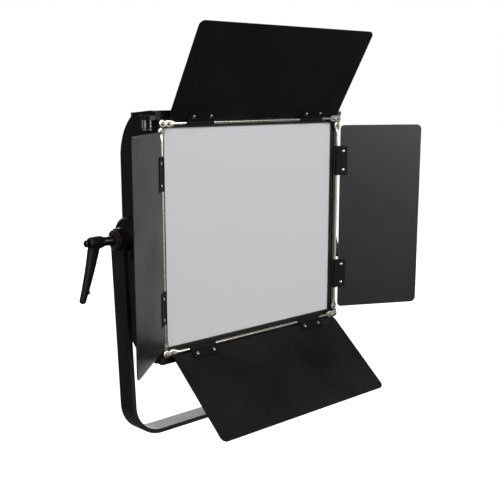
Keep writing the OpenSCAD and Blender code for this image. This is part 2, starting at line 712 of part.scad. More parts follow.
yoke_bar();
stand_receiver();
receiver_bolt();
arm_bush(-1);  // left_arm_bush
arm_bush(1);  // right_arm_bush
collar(-1);  // left_collar
collar(1);  // right_collar
lock_plug();
lock_screw();
lock_knob();
rear_shell();
front_frame();
diffuser();
mixing_frame();
led_board();
led_chips();
heat_sink();
driver_board();
pivot_disc(-1);  // left_pivot_disc
pivot_disc(1);  // right_pivot_disc
pivot_stud(-1);  // left_pivot_stud
pivot_stud(1);  // right_pivot_stud
corner_tabs();
rod(0);  // top_rod
rod(2);  // bottom_rod
rod(1);  // left_rod
rod(3);  // right_rod
rod_screws();
shell_screws();
accessory_clips();
clip_pins();
control_plate();
display_window();
dc_inlet();
rear_knob(-knob_x);  // brightness_knob
rear_knob(knob_x);  // colour_knob
power_rocker();
control_bodies();
bead(-rod_x);  // left_bead
bead(rod_x);  // right_bead
leaf(0);  // top_leaf
hinges(0);  // top_hinges
rivets(0);  // top_rivets
leaf(2);  // bottom_leaf
hinges(2);  // bottom_hinges
rivets(2);  // bottom_rivets
leaf(1);  // left_leaf
hinges(1);  // left_hinges
rivets(1);  // left_rivets
leaf(3);  // right_leaf
hinges(3);  // right_hinges
rivets(3);  // right_rivets
lever_hub(-1);  // left_lever_hub
lever(-1);  // left_lever
lever_screw(-1);  // left_lever_screw
lever_hub(1);  // right_lever_hub
lever(1);  // right_lever
lever_screw(1);  // right_lever_screw
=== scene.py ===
import json
import math
import bpy
from mathutils import Matrix, Vector


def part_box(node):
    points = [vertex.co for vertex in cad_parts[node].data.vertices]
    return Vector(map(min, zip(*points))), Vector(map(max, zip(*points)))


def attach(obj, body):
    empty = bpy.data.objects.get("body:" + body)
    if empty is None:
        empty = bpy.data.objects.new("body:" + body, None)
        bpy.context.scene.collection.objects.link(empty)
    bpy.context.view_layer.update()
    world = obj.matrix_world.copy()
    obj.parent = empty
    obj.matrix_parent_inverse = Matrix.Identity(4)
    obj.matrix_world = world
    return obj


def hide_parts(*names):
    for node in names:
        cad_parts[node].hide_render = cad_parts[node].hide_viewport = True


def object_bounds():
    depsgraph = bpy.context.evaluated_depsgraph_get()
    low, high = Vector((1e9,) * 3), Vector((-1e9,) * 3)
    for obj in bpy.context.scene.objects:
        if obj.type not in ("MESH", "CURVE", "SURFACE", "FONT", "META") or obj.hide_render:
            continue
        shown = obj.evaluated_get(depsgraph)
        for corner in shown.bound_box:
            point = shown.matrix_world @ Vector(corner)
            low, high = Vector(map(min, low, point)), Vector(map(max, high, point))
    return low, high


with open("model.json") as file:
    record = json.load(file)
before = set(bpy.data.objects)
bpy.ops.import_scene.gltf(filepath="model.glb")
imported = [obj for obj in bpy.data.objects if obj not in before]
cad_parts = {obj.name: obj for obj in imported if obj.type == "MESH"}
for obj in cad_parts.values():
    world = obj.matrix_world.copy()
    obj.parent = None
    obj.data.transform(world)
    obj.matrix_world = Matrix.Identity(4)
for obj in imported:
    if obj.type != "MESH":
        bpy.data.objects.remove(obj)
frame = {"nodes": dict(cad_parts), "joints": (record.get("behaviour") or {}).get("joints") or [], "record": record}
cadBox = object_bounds()
mm = 0.001
toMetres = Matrix.Scale(mm, 4)
joints = {j["name"]: j for j in frame["joints"]}
bothSides = (("left", -1), ("right", 1))
# the head's own up, and the way it faces
headUp = -Vector(joints["left_door_fold"]["axis"])
headFront = Vector((1, 0, 0)).cross(headUp)
# radius that stands for the axis in an outline to be spun
onAxis = 0.02

# ---- camera ----
# a 60 mm lens a good metre from the lamp, held with a slight roll
cameraSetup = {
    "place": (-0.7642, -0.9448, 0.4523), "forward": (0.6451, 0.7505, -0.1429),
    "right": (0.7540, -0.6550, -0.0390), "lens": 59.82, "sensor": 36, "near": 0.05,
}


def makeCamera():
    bpy.ops.object.camera_add(location=cameraSetup["place"])
    camera = bpy.context.object
    camera.name = "viewCamera"
    forward = Vector(cameraSetup["forward"]).normalized()
    right = Vector(cameraSetup["right"])
    right = (right - forward * right.dot(forward)).normalized()
    turn = Matrix((right, right.cross(forward), -forward)).transposed()
    camera.rotation_euler = turn.to_euler()
    camera.data.lens = cameraSetup["lens"]
    camera.data.sensor_width = cameraSetup["sensor"]
    camera.data.clip_start = cameraSetup["near"]
    bpy.context.scene.camera = camera


makeCamera()
print("camera ready")

# ---- small helpers ----
# merging distances in metres, angles in degrees, weight of the large faces
meshCare = {
    "merge": 0.00001, "copyMerge": 0.00002, "flat": 0.5, "bevelOver": 32, "sharpOver": 45, "weight": 100,
}


def deselectAll():
    bpy.ops.object.select_all(action="DESELECT")


def makeActive(piece):
    deselectAll()
    piece.select_set(True)
    bpy.context.view_layer.objects.active = piece


def applyAll(piece):
    makeActive(piece)
    for modifier in list(piece.modifiers):
        bpy.ops.object.modifier_apply(modifier=modifier.name)


def placeIn(piece, space):
    # moves a piece drawn around the origin into its place, and bakes the place into its mesh
    piece.matrix_world = space
    makeActive(piece)
    bpy.ops.object.transform_apply(location=True, rotation=True, scale=True)


def pointOut(piece):
    makeActive(piece)
    bpy.ops.object.mode_set(mode="EDIT")
    bpy.ops.mesh.select_all(action="SELECT")
    bpy.ops.mesh.remove_doubles(threshold=meshCare["merge"])
    bpy.ops.mesh.normals_make_consistent(inside=False)
    bpy.ops.object.mode_set(mode="OBJECT")


def smooth(piece, angle):
    makeActive(piece)
    bpy.ops.object.shade_smooth_by_angle(angle=math.radians(angle))


def evenShading(piece):
    # large flat faces keep their own normals beside small rounded edges
    smooth(piece, meshCare["sharpOver"])
    weight = piece.modifiers.new("evenShading", "WEIGHTED_NORMAL")
    weight.weight = meshCare["weight"]
    weight.keep_sharp = True
    applyAll(piece)


def bevelEdges(piece, width, segments):
    bevel = piece.modifiers.new("softEdges", "BEVEL")
    bevel.width = width
    bevel.segments = segments
    bevel.limit_method = "ANGLE"
    bevel.angle_limit = math.radians(meshCare["bevelOver"])
    bevel.use_clamp_overlap = True
    applyAll(piece)


def finishPiece(piece, name, body, slotName, replaced=()):
    piece.name = name
    piece.data.name = name
    piece.data.materials.clear()
    piece.data.materials.append(materials[slotName])
    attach(piece, body)
    if replaced:
        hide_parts(*replaced)


def bodyOf(node):
    return next(b for b, names in frame["record"]["behaviour"]["bodies"].items() if node in names)


def slotOf(node):
    return next(s["material_slot"] for s in frame["record"]["subparts"] if s["node"] == node)


def softCopy(node, name, width, segments):
    # a merged copy of a hard-edged node, with its edges rounded
    makeActive(frame["nodes"][node])
    bpy.ops.object.duplicate()
    piece = bpy.context.object
    for key in list(piece.keys()):
        if key.startswith("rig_"):
            del piece[key]
    piece.parent = None
    piece.matrix_world = Matrix.Identity(4)
    bpy.ops.object.mode_set(mode="EDIT")
    bpy.ops.mesh.select_all(action="SELECT")
    bpy.ops.mesh.remove_doubles(threshold=meshCare["copyMerge"])
    bpy.ops.mesh.dissolve_limited(angle_limit=math.radians(meshCare["flat"]))
    bpy.ops.object.mode_set(mode="OBJECT")
    bevelEdges(piece, width, segments)
    evenShading(piece)
    finishPiece(piece, name, bodyOf(node), slotOf(node), [node])


def spaceOf(origin, xAxis, zAxis):
    x = Vector(xAxis).normalized()
    z = Vector(zAxis)
    z = (z - x * z.dot(x)).normalized()
    turn = Matrix((x, z.cross(x), z)).transposed().to_4x4()
    return Matrix.Translation(Vector(origin)) @ turn


def tiltSpace(sign, zAxis):
    # on the tilt axis at the lamp's middle, with X out to one side
    return spaceOf((0, 0, joints["head_tilt"]["pos_m"][2]), (sign, 0, 0), zAxis)


def loft(name, stations, sides):
    # rings along X: (x, y, z, half size in y, half size in z), each pulled out of the last
    deselectAll()
    x, y, z, halfY, halfZ = stations[0]
    bpy.ops.mesh.primitive_circle_add(vertices=sides, radius=1, fill_type="NGON", location=(0, 0, 0),
                                      rotation=(0, math.pi / 2, 0))
    piece = bpy.context.object
    bpy.ops.object.transform_apply(location=True, rotation=True, scale=True)
    bpy.ops.object.mode_set(mode="EDIT")
    bpy.ops.mesh.select_all(action="SELECT")
    bpy.ops.transform.resize(value=(1, halfY, halfZ), center_override=(0, 0, 0))
    bpy.ops.transform.translate(value=(x, y, z))
    for last, ring in zip(stations, stations[1:]):
        move = [b - a for a, b in zip(last[:3], ring[:3])]
        bpy.ops.mesh.extrude_region_move(TRANSFORM_OT_translate={"value": move})
        bpy.ops.transform.resize(value=(1, ring[3] / last[3], ring[4] / last[4]), center_override=ring[:3])
    bpy.ops.object.mode_set(mode="OBJECT")
    piece.name = name
    pointOut(piece)
    return piece


def latheX(name, outline, steps):
    # a closed outline of (x, radius) spun once round X
    deselectAll()
    bpy.ops.mesh.primitive_circle_add(vertices=len(outline), radius=1, fill_type="NOTHING")
    piece = bpy.context.object
    for vertex, (x, radius) in zip(piece.data.vertices, outline):
        vertex.co = (x, 0, radius)
    bpy.ops.object.mode_set(mode="EDIT")
    bpy.ops.mesh.select_all(action="SELECT")
    bpy.ops.mesh.spin(steps=steps, angle=2 * math.pi, center=(0, 0, 0), axis=(1, 0, 0), use_auto_merge=True)
    bpy.ops.object.mode_set(mode="OBJECT")
    piece.name = name
    pointOut(piece)
    return piece


def combine(piece, other, operation):
    # joins the other piece on or cuts its shape away, and uses it up
    boolean = piece.modifiers.new("combine", "BOOLEAN")
    boolean.operation = operation
    boolean.object = other
    boolean.solver = "EXACT"
    applyAll(piece)
    bpy.data.objects.remove(other)


# ---- shared shader groups ----
# sizes of the patterns, and the part of each that turns into wear, dust or a change of gloss
coatLook = {
    "cloud": 14.0, "speck": 2400.0, "rubbed": (0.36, 0.5), "dusty": (0.66, 0.78), "dustGain": 10.0,
    "dustColour": (0.32, 0.31, 0.3), "gloss": (0.3, 0.7),
}
metalLook = {
    "stretch": (0.04, 1.0, 1.0), "cloud": 90.0, "stained": (0.55, 0.75), "stain": 0.6, "gloss": (0.35, 0.65),
}


def newGroup(name, inputs, outputs):
    group = bpy.data.node_groups.new(name, "ShaderNodeTree")
    for label, kind, value in inputs:
        socket = group.interface.new_socket(label, in_out="INPUT", socket_type=kind)
        socket.default_value = value
    for label, kind in outputs:
        group.interface.new_socket(label, in_out="OUTPUT", socket_type=kind)
    return group, group.nodes.new("NodeGroupInput"), group.nodes.new("NodeGroupOutput")


def addNoise(tree, vector, scale, detail, rough):
    noise = tree.nodes.new("ShaderNodeTexNoise")
    noise.inputs["Detail"].default_value = detail
    noise.inputs["Roughness"].default_value = rough
    if isinstance(scale, (int, float)):
        noise.inputs["Scale"].default_value = scale
    else:
        tree.links.new(scale, noise.inputs["Scale"])
    tree.links.new(vector, noise.inputs["Vector"])
    return noise


def addRange(tree, value, low, high, newLow, newHigh):
    node = tree.nodes.new("ShaderNodeMapRange")
    for label, number in (("From Min", low), ("From Max", high), ("To Min", newLow), ("To Max", newHigh)):
        if isinstance(number, (int, float)):
            node.inputs[label].default_value = number
        else:
            tree.links.new(number, node.inputs[label])
    tree.links.new(value, node.inputs["Value"])
    return node.outputs["Result"]


def addMath(tree, kind, first, second):
    node = tree.nodes.new("ShaderNodeMath")
    node.operation = kind
    for i, value in enumerate((first, second)):
        if isinstance(value, (int, float)):
            node.inputs[i].default_value = value
        else:
            tree.links.new(value, node.inputs[i])
    return node.outputs[0]


def addMix(tree, factor, first, second):
    node = tree.nodes.new("ShaderNodeMix")
    node.data_type = "RGBA"
    tree.links.new(factor, node.inputs["Factor"])
    for label, value in (("A", first), ("B", second)):
        socket = [s for s in node.inputs if s.name == label and s.type == "RGBA"][0]
        if isinstance(value, (tuple, list)):
            socket.default_value = (*value[:3], 1)
        else:
            tree.links.new(value, socket)
    return [s for s in node.outputs if s.type == "RGBA"][0]


def makeCoatGroup():
    # sprayed or powder finish: fine orange-peel grain, cloudy gloss, a few rubbed spots and dust specks
    group, entry, leave = newGroup("sprayedFinish", [
        ("Vector", "NodeSocketVector", (0, 0, 0)), ("Base", "NodeSocketColor", (0.02, 0.02, 0.02, 1)),
        ("Rubbed", "NodeSocketColor", (0.1, 0.1, 0.1, 1)), ("Grain Scale", "NodeSocketFloat", 900.0),
        ("Gloss Low", "NodeSocketFloat", 0.35), ("Gloss High", "NodeSocketFloat", 0.5),
        ("Dust", "NodeSocketFloat", 0.02)],
        [("Color", "NodeSocketColor"), ("Roughness", "NodeSocketFloat"), ("Height", "NodeSocketFloat")])
    vector = entry.outputs["Vector"]
    grain = addNoise(group, vector, entry.outputs["Grain Scale"], 2.0, 0.6).outputs["Fac"]
    cloud = addNoise(group, vector, coatLook["cloud"], 4.0, 0.6).outputs["Fac"]
    speck = addNoise(group, vector, coatLook["speck"], 1.0, 0.4).outputs["Fac"]
    rub = addRange(group, addMath(group, "MULTIPLY", cloud, grain), *coatLook["rubbed"], 0.0, 1.0)
    dusty = addMath(group, "MULTIPLY", addRange(group, speck, *coatLook["dusty"], 0.0, 1.0),
                    addMath(group, "MULTIPLY", entry.outputs["Dust"], coatLook["dustGain"]))
    color = addMix(group, rub, entry.outputs["Base"], entry.outputs["Rubbed"])
    color = addMix(group, dusty, color, coatLook["dustColour"])
    group.links.new(color, leave.inputs["Color"])
    low, high = entry.outputs["Gloss Low"], entry.outputs["Gloss High"]
    group.links.new(addRange(group, cloud, *coatLook["gloss"], low, high), leave.inputs["Roughness"])
    group.links.new(grain, leave.inputs["Height"])
    return group


def makeMetalGroup():
    # drawn or turned metal: long fine lines along X, smudges in the gloss, tarnish in the colour
    group, entry, leave = newGroup("wroughtMetal", [
        ("Vector", "NodeSocketVector", (0, 0, 0)), ("Bright", "NodeSocketColor", (0.8, 0.8, 0.8, 1)),
        ("Tarnish", "NodeSocketColor", (0.4, 0.4, 0.4, 1)), ("Line Scale", "NodeSocketFloat", 1200.0),
        ("Gloss Low", "NodeSocketFloat", 0.1), ("Gloss High", "NodeSocketFloat", 0.3)],
        [("Color", "NodeSocketColor"), ("Roughness", "NodeSocketFloat"), ("Height", "NodeSocketFloat")])
    stretch = group.nodes.new("ShaderNodeVectorMath")
    stretch.operation = "MULTIPLY"
    stretch.inputs[1].default_value = metalLook["stretch"]
    group.links.new(entry.outputs["Vector"], stretch.inputs[0])
    lines = addNoise(group, stretch.outputs[0], entry.outputs["Line Scale"], 2.0, 0.5).outputs["Fac"]
    cloud = addNoise(group, entry.outputs["Vector"], metalLook["cloud"], 4.0, 0.65).outputs["Fac"]
    stain = addRange(group, cloud, *metalLook["stained"], 0.0, metalLook["stain"])
    color = addMix(group, stain, entry.outputs["Bright"], entry.outputs["Tarnish"])
    group.links.new(color, leave.inputs["Color"])
    gloss = addMath(group, "MULTIPLY", addMath(group, "ADD", lines, cloud), 0.5)
    low, high = entry.outputs["Gloss Low"], entry.outputs["Gloss High"]
    group.links.new(addRange(group, gloss, *metalLook["gloss"], low, high), leave.inputs["Roughness"])
    group.links.new(lines, leave.inputs["Height"])
    return group


coatGroup = makeCoatGroup()
metalGroup = makeMetalGroup()


def makeMaterial(name, group, values, bump, distance, constants):
    material = bpy.data.materials.new(name)
    material.use_nodes = True
    tree = material.node_tree
    shader = tree.nodes["Principled BSDF"]
    place = tree.nodes.new("ShaderNodeTexCoord")
    effect = tree.nodes.new("ShaderNodeGroup")
    effect.node_tree = group
    tree.links.new(place.outputs["Object"], effect.inputs["Vector"])
    for label, value in values.items():
        effect.inputs[label].default_value = (*value, 1) if isinstance(value, tuple) else value
    tree.links.new(effect.outputs["Color"], shader.inputs["Base Color"])
    tree.links.new(effect.outputs["Roughness"], shader.inputs["Roughness"])
    relief = tree.nodes.new("ShaderNodeBump")
    relief.inputs["Strength"].default_value = bump
    relief.inputs["Distance"].default_value = distance
    tree.links.new(effect.outputs["Height"], relief.inputs["Height"])
    tree.links.new(relief.outputs["Normal"], shader.inputs["Normal"])
    for label, value in constants.items():
        shader.inputs[label].default_value = value
    return material


# base colour, rubbed colour, grain size, gloss range, dust, bump strength
coats = {
    "black_sheet": ((0.010, 0.010, 0.0107), (0.022, 0.022, 0.0235), 850, 0.42, 0.55, 0.004, 0.35),
    "door_sheet": ((0.0032, 0.0032, 0.0034), (0.009, 0.009, 0.009), 1100, 0.34, 0.44, 0.003, 0.3),
    "hinge_sheet": ((0.004, 0.004, 0.004), (0.012, 0.012, 0.012), 1200, 0.55, 0.7, 0.003, 0.3),
    "yoke_paint": ((0.0065, 0.0065, 0.007), (0.02, 0.02, 0.022), 700, 0.32, 0.46, 0.005, 0.25),
    "cast_black": ((0.014, 0.014, 0.014), (0.05, 0.05, 0.05), 600, 0.42, 0.6, 0.006, 0.5),
    "collar": ((0.085, 0.072, 0.057), (0.2, 0.175, 0.145), 700, 0.24, 0.4, 0.01, 0.3),
    "black_plastic": ((0.014, 0.014, 0.0145), (0.03, 0.03, 0.03), 1500, 0.42, 0.58, 0.006, 0.35),
    "lever_plastic": ((0.026, 0.025, 0.020), (0.06, 0.057, 0.046), 1300, 0.36, 0.52, 0.008, 0.4),
    "bush_nylon": ((0.02, 0.02, 0.02), (0.05, 0.05, 0.05), 900, 0.45, 0.6, 0.0, 0.2),
    "diffuser": ((0.60, 0.60, 0.613), (0.63, 0.63, 0.64), 500, 0.5, 0.6, 0.0, 0.05),
    "white_plastic": ((0.82, 0.82, 0.82), (0.75, 0.75, 0.74), 700, 0.45, 0.6, 0.0, 0.1),
    "board": ((0.74, 0.74, 0.7), (0.66, 0.66, 0.62), 700, 0.35, 0.5, 0.0, 0.1),
    "led": ((0.8, 0.6, 0.16), (0.85, 0.7, 0.25), 2000, 0.2, 0.35, 0.0, 0.1),
    "green_board": ((0.02, 0.14, 0.06), (0.05, 0.2, 0.1), 500, 0.25, 0.4, 0.0, 0.1),
    "panel": ((0.03, 0.03, 0.032), (0.055, 0.055, 0.057), 1200, 0.38, 0.5, 0.004, 0.25),
}
# bright colour, tarnished colour, line scale, gloss range, bump strength
metals = {
    "bright_rod": ((0.60, 0.57, 0.48), (0.42, 0.38, 0.29), 1500, 0.18, 0.32, 0.08),
    "bright_edge": ((0.42, 0.39, 0.31), (0.26, 0.23, 0.17), 1200, 0.3, 0.45, 0.1),
    "black_screw": ((0.13, 0.125, 0.115), (0.05, 0.045, 0.04), 1600, 0.22, 0.4, 0.12),
    "zinc_screw": ((0.55, 0.54, 0.52), (0.34, 0.33, 0.3), 1800, 0.2, 0.38, 0.12),
    "steel": ((0.56, 0.56, 0.58), (0.3, 0.28, 0.25), 1600, 0.24, 0.42, 0.15),
    "sink": ((0.72, 0.72, 0.74), (0.5, 0.5, 0.5), 900, 0.3, 0.5, 0.2),
    "brass": ((0.78, 0.58, 0.26), (0.4, 0.28, 0.14), 1400, 0.22, 0.4, 0.15),
}
# sheen of the dull finishes and of all others
dull = {"black_sheet": 0.25, "hinge_sheet": 0.15}
usualSheen = 0.5
# depth of the relief in metres
reliefDepth = {"coat": 0.0002, "metal": 0.00005, "window": 0.0001}
# the display's clear cover
windowLook = {
    "Base": (0.008, 0.012, 0.014), "Rubbed": (0.012, 0.016, 0.018), "Grain Scale": 300.0, "Gloss Low": 0.05,
    "Gloss High": 0.12, "Dust": 0.004,
}
windowBump = 0.02


def makeMaterials():
    made = {}
    for name, (base, rubbed, scale, low, high, dust, bump) in coats.items():
        values = {"Base": base, "Rubbed": rubbed, "Grain Scale": float(scale), "Gloss Low": low,
                  "Gloss High": high, "Dust": dust}
        sheen = {"Specular IOR Level": dull.get(name, usualSheen)}
        made[name] = makeMaterial(name, coatGroup, values, bump, reliefDepth["coat"], sheen)
    for name, (bright, tarnish, scale, low, high, bump) in metals.items():
        values = {"Bright": bright, "Tarnish": tarnish, "Line Scale": float(scale), "Gloss Low": low,
                  "Gloss High": high}
        made[name] = makeMaterial(name, metalGroup, values, bump, reliefDepth["metal"], {"Metallic": 1.0})
    made["window"] = makeMaterial("window", coatGroup, windowLook, windowBump, reliefDepth["window"],
                                  {"Coat Weight": 0.6, "Coat Roughness": 0.05})
    return made


materials = makeMaterials()
for node, shown in frame["nodes"].items():
    shown.data.materials.clear()
    shown.data.materials.append(materials[slotOf(node)])
print("materials ready:", len(materials))

# ---- hard-edged pieces: softened edges ----
# new name, width of the rounding in mm and its steps
softEdges = {
    "yoke_bar": ("yokeBar", 1.1, 3), "stand_receiver": ("standReceiver", 0.8, 2),
    "front_frame": ("frontFrame", 1.2, 3), "rear_shell": ("rearShell", 0.7, 2),
    "corner_tabs": ("cornerTabs", 0.35, 2), "accessory_clips": ("accessoryClips", 0.6, 2),
    "control_plate": ("controlPlate", 0.35, 2), "brightness_knob": ("brightnessKnob", 0.35, 2),
    "colour_knob": ("colourKnob", 0.35, 2), "power_rocker": ("powerRocker", 0.3, 2),
    "lock_knob": ("lockKnob", 0.9, 3), "dc_inlet": ("powerInlet", 0.3, 2),
    "receiver_bolt": ("receiverBolt", 0.4, 2), "heat_sink": ("heatSink", 0.2, 1),
    "left_arm_bush": ("leftBush", 0.4, 2), "right_arm_bush": ("rightBush", 0.4, 2),
}
sheetEdges = {"leaf": 0.35, "hinges": 0.25, "steps": 2}


def makeSoftened():
    for node, (name, width, segments) in softEdges.items():
        softCopy(node, name, width * mm, segments)
    for side in ("top", "bottom", "left", "right"):
        softCopy(side + "_leaf", side + "Door", sheetEdges["leaf"] * mm, sheetEdges["steps"])
        softCopy(side + "_hinges", side + "Brackets", sheetEdges["hinges"] * mm, sheetEdges["steps"])


makeSoftened()
print("softened pieces ready")

# ---- clamp levers ----
# neckEdge and endEdge: distance from the neck or from the hub's end, and how far under the hub's radius
# nub: distance from the arm and half sizes
lever = {
    "into": 0.3, "neck": 15.5, "hub": 38.0, "hubRadius": 8.5, "bore": 6.3, "boreEnd": 27.5, "recess": 5.3,
    "recessEnd": 30.6, "hole": 3.1, "sides": 40,
    "neckEdge": [(0, 1.6), (0.8, 1.0), (3, 0.8), (3.8, 0.2), (5, 0)],
    "endEdge": [(5, 0.3), (2.4, 1.1), (0.8, 2.2), (0, 3.0)],
    "armIn": 8.2, "armTop": 6.9, "armHalf": (9.0, 5.4), "tipHalf": (4.9, 4.2), "armSteps": 9, "drop": 78.0,
    "lean": 21.0, "nub": [(-8.4, 1.2, 2.2), (-6, 2.0, 3.2), (-3, 2.4, 3.6)], "nubUp": 2,
    "voxel": 0.5, "relax": 6,
}


def hubStart(side):
    low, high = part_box(side + "_lever_hub")
    return min(abs(low.x), abs(high.x)) / mm - lever["into"]


def loftRound(name, start, profile):
    # a round loft through (distance from the hub's start, radius)
    return loft(name, [(start + x, 0, 0, radius, radius) for x, radius in profile], lever["sides"])


def makeLever(side, sign):
    # drawn with X outwards along the tilt axis and Z down along the handle
    start = hubStart(side)
    neck, length, hubRadius = lever["neck"], lever["hub"], lever["hubRadius"]
    bore, hole, recess = lever["bore"], lever["hole"], lever["recess"]
    profile = [(lever["boreEnd"], bore), (neck, bore)]
    profile += [(neck + x, hubRadius - under) for x, under in lever["neckEdge"]]
    profile += [(length - x, hubRadius - under) for x, under in lever["endEdge"]]
    profile += [(length, recess), (lever["recessEnd"], recess)]
    hub = loftRound(side + "Hub", start, profile)
    rings = []
    topX, topY = lever["armHalf"]
    tipX, tipY = lever["tipHalf"]
    for i in range(lever["armSteps"] + 1):
        t = i / lever["armSteps"]
        x = start + length - lever["armIn"] + lever["lean"] * (0.8 * t + 0.2 * t * t)
        z = lever["armTop"] + (lever["drop"] - tipX - lever["armTop"]) * t
        rings.append((x, 0, z, topX * (1 - t) + tipX * t, topY * (1 - t) + tipY * t))
    combine(hub, loftDown(side + "Arm", rings, tipX), "UNION")
    nubX, nubZ = rings[-2][0], rings[-2][2] - lever["nubUp"]
    nub = loft(side + "Nub", [(nubX + x, 0, nubZ, halfY, halfZ) for x, halfY, halfZ in lever["nub"]], 16)
    combine(hub, nub, "UNION")
    blend = hub.modifiers.new("blend", "REMESH")
    blend.mode = "VOXEL"
    blend.voxel_size = lever["voxel"]
    relax = hub.modifiers.new("relax", "SMOOTH")
    relax.factor = 0.5
    relax.iterations = lever["relax"]
    applyAll(hub)
    # the screw's hole through the wall and the recess for its head, free for the whole pull of the handle
    drill = [(lever["boreEnd"] - 1, hole), (lever["recessEnd"], hole), (lever["recessEnd"], recess),
             (length + 2, recess)]
    combine(hub, loftRound(side + "Drill", start, drill), "DIFFERENCE")
    makeActive(hub)
    bpy.ops.object.shade_smooth()
    placeIn(hub, tiltSpace(sign, (0, 0, -1)) @ toMetres)
    pointOut(hub)
    finishPiece(hub, side + "ClampLever", side + "_handle", "lever_plastic", [side + "_lever"])


def loftDown(name, rings, tipHalf):
    # the same loft along Z: rings are (x, y, z, half size in x, half size in y), closed by a round tip
    stations = [(z, y, -x, halfY, halfX) for x, y, z, halfX, halfY in rings]
    z, y, x, halfY, halfX = stations[-1]
    for turn in (30, 55, 75):
        shrink = math.cos(math.radians(turn))
        stations.append((z + tipHalf * math.sin(math.radians(turn)), y, x, halfY * shrink, halfX * shrink))
    piece = loft(name, stations, 28)
    placeIn(piece, Matrix.Rotation(math.radians(-90), 4, "Y"))
    return piece


for side, sign in bothSides:
    makeLever(side, sign)
print("clamp levers ready")

# distance from the hub's start and radius of the ribbed screw in a lever's end
capOutline = [
    (22, onAxis), (22, 5.6), (23.5, 5.6), (23.5, 2.5), (35, 2.5), (35, 4.3), (35.5, 4.8), (36.8, 4.8),
    (37.1, 4.2), (37.6, 4.2), (37.9, 4.8), (39.2, 4.8), (39.5, 4.2), (40.0, 4.2), (40.3, 4.8), (41.6, 4.6),
    (42.4, 4.0), (42.8, 2.8), (42.8, onAxis),
]


def makeCap(side, sign):
    cap = latheX(side + "Cap", [(hubStart(side) + x, radius) for x, radius in capOutline], lever["sides"])
    placeIn(cap, tiltSpace(sign, (0, 0, 1)) @ toMetres)
    pointOut(cap)
    smooth(cap, 35)
    finishPiece(cap, side + "LeverScrew", side + "_hub", "black_screw", [side + "_lever_screw"])


for side, sign in bothSides:
    makeCap(side, sign)
print("lever screws ready")

# ---- rods with flattened ends ----
# plates: length of each rod's flattened ends; waist: half the distance between two eyes
rodShape = {
    "radius": 2.0, "plateHalf": 5.2, "plateThick": 0.8, "taper": 7.0, "waist": 4.75, "waistIn": 2,
    "roundSteps": 6, "roundTo": 84, "sides": 32,
    "plates": {"top": 18.9, "bottom": 18.9, "left": 9.4, "right": 9.4},
}


def makeRod(side, plate):
    joint = joints[side + "_door_fold"]
    low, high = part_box(side + "_rod")
    axis = Vector(joint["axis"])
    span = high - low
    half = (span.z if abs(axis.z) > 0.5 else span.x) / 2 / mm
    if abs(axis.z) > 0.5:
        half = (half - abs(axis.y) * rodShape["plateThick"]) / abs(axis.z)
    r, wide, thin = rodShape["radius"], rodShape["plateHalf"], rodShape["plateThick"]
    flat = half - plate
    # pressed flat towards its end: distance from the middle, half thickness and half width
    ends = [(flat - rodShape["taper"], r, r), (flat - 0.6 * rodShape["taper"], 0.8 * r, 1.25 * r),
            (flat - 0.25 * rodShape["taper"], thin * 1.2, 0.75 * wide), (flat + 1.5, thin, 0.97 * wide)]
    if plate > 3 * wide:
        # two eyes with a waist between them
        waist, waistIn = rodShape["waist"], rodShape["waistIn"]
        middle = half - wide - waist
        ends += [(middle - waist, thin, wide), (middle - waistIn, thin, 0.88 * wide),
                 (middle, thin, 0.76 * wide), (middle + waistIn, thin, 0.88 * wide)]
    ends.append((half - wide, thin, wide))
    for i in range(1, rodShape["roundSteps"] + 1):
        a = math.radians(rodShape["roundTo"]) * i / rodShape["roundSteps"]
        ends.append((half - wide + wide * math.sin(a), thin, wide * math.cos(a)))
    stations = [(-x, 0, 0, y, z) for x, y, z in reversed(ends)] + [(x, 0, 0, y, z) for x, y, z in ends]
    rod = loft(side + "Rod", stations, rodShape["sides"])
    out = Vector((0, 0, 1)) if abs(axis.x) > 0.5 else Vector((1, 0, 0))
    centre = (low + high) / 2
    placeIn(rod, spaceOf(centre, axis, out) @ toMetres)
    pointOut(rod)
    smooth(rod, 50)
    finishPiece(rod, side + "Rod", "head", "bright_rod", [side + "_rod"])


for side, plate in rodShape["plates"].items():
    makeRod(side, plate)
print("rods ready")

# ---- ribbed collars ----
# rib: share of the pitch and depth under the rim; each rib is a step lower than the last
collarShape = {
    "ribs": 3, "deep": 1.2, "step": 0.3, "bore": 4.3, "steps": 72,
    "rib": [(0.12, 1.2), (0.28, 0.3), (0.4, 0), (0.72, 0), (0.84, 0.3), (0.96, 1.2)],
}


def makeCollar(side, sign):
    low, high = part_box(side + "_collar")
    radius = (high.z - low.z) / 2
    start, end = sorted((abs(low.x), abs(high.x)))
    deep, step, bore = [collarShape[key] * mm for key in ("deep", "step", "bore")]
    pitch = (end - start) / collarShape["ribs"]
    outline = [(start, bore), (start, radius - deep)]
    for i in range(collarShape["ribs"]):
        base, rim = start + i * pitch, radius - i * step
        outline += [(base + pitch * share, rim - under * mm) for share, under in collarShape["rib"]]
    outline += [(end, rim - deep), (end, bore)]
    collar = latheX(side + "Collar", outline, collarShape["steps"])
    placeIn(collar, tiltSpace(sign, (0, 0, 1)))
    pointOut(collar)
    smooth(collar, 30)
    finishPiece(collar, side + "RibbedCollar", "yoke", "collar", [side + "_collar"])


for side, sign in bothSides:
    makeCollar(side, sign)
print("collars ready")

# ---- pivot discs with turned grooves ----
# rim: distance from the outer face and how far under the radius
# boss: distance from the outer face and radius
discShape = {
    "bore": 4.1, "chamfer": (0.4, 0.3), "rim": [(3.0, 0), (2.2, 0.7), (2.0, 1.6)], "sunk": 1.2,
    "grooves": (24.4, 21.2, 18.0), "wide": 1.1, "deep": 1.0, "flare": 0.4, "taper": 0.1,
    "boss": [(1.2, 17.0), (0.3, 16.6), (0, 16.0)], "steps": 96,
}


